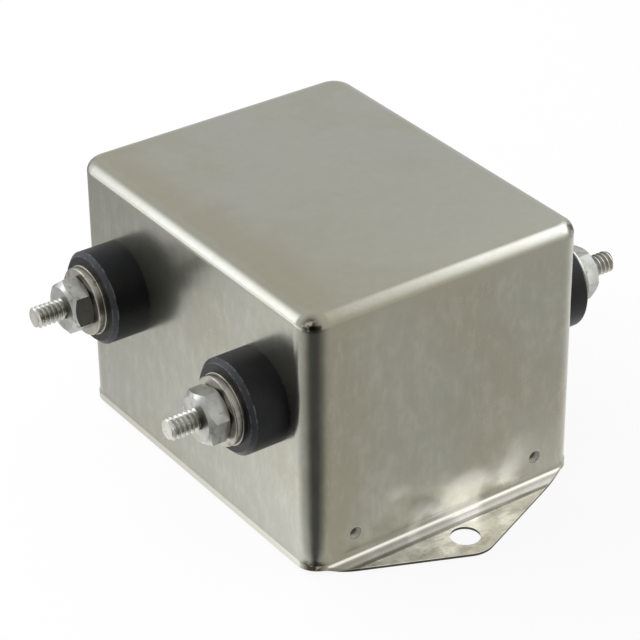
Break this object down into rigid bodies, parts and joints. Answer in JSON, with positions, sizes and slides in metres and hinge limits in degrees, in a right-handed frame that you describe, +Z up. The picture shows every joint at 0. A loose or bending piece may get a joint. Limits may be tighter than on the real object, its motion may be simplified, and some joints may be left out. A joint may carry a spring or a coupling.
{
  "type": "EMI line filter",
  "caption": "Chassis-mount line filter: a drawn steel can with a flared foot, an ear on each long side, and threaded stud terminals on black bushings at both ends.",
  "frame": {"origin": "centre of the can in plan, on the mounting plane under its ears", "axes": "+X along the terminal studs, out of the end whose studs face +X; +Y towards one ear; +Z up from the mounting plane"},
  "size_m": [0.0832, 0.0824, 0.0446],
  "materials": {
    "can_steel": "satin plated sheet",
    "cover_steel": "satin plated sheet",
    "insulating_sheet": "matt pressed board",
    "liner_film": "matt film",
    "ferrite": "matt coated ferrite",
    "carrier_plastic": "moulded, matt",
    "enamelled_copper": "gloss enamel on copper",
    "capacitor_box": "moulded, gloss",
    "capacitor_disc": "dipped coating, gloss",
    "resistor_body": "lacquered",
    "solder": "bright solder",
    "stud_plating": "bright plated",
    "bushing_moulding": "moulded, semi-gloss black",
    "lug_tin": "tinned",
    "washer_plating": "plated, slightly warm",
    "nut_plating": "bright plated"
  },
  "bodies": {
    "root": {"can": "can_steel", "base_cover": "cover_steel", "base_insulator": "insulating_sheet", "can_liner": "liner_film", "choke_core": "ferrite", "choke_carrier": "carrier_plastic", "winding_1": "enamelled_copper", "winding_2": "enamelled_copper", "x_capacitor_1": "capacitor_box", "x_capacitor_2": "capacitor_box", "y_capacitor_1": "capacitor_disc", "y_capacitor_2": "capacitor_disc", "bleed_resistor": "resistor_body", "ground_joint_1": "solder", "ground_joint_2": "solder", "stud_1": "stud_plating", "stud_2": "stud_plating", "stud_3": "stud_plating", "stud_4": "stud_plating", "bushing_1": "bushing_moulding", "bushing_2": "bushing_moulding", "bushing_3": "bushing_moulding", "bushing_4": "bushing_moulding", "inner_insulator_1": "bushing_moulding", "inner_insulator_2": "bushing_moulding", "inner_insulator_3": "bushing_moulding", "inner_insulator_4": "bushing_moulding", "solder_lug_1": "lug_tin", "solder_lug_2": "lug_tin", "solder_lug_3": "lug_tin", "solder_lug_4": "lug_tin", "flat_washer_1": "washer_plating", "flat_washer_2": "washer_plating", "flat_washer_3": "washer_plating", "flat_washer_4": "washer_plating", "clamp_washer_1": "washer_plating", "clamp_washer_2": "washer_plating", "clamp_washer_3": "washer_plating", "clamp_washer_4": "washer_plating", "nut_1": "nut_plating", "nut_2": "nut_plating", "nut_3": "nut_plating", "nut_4": "nut_plating"}
  },
  "joints": []
}
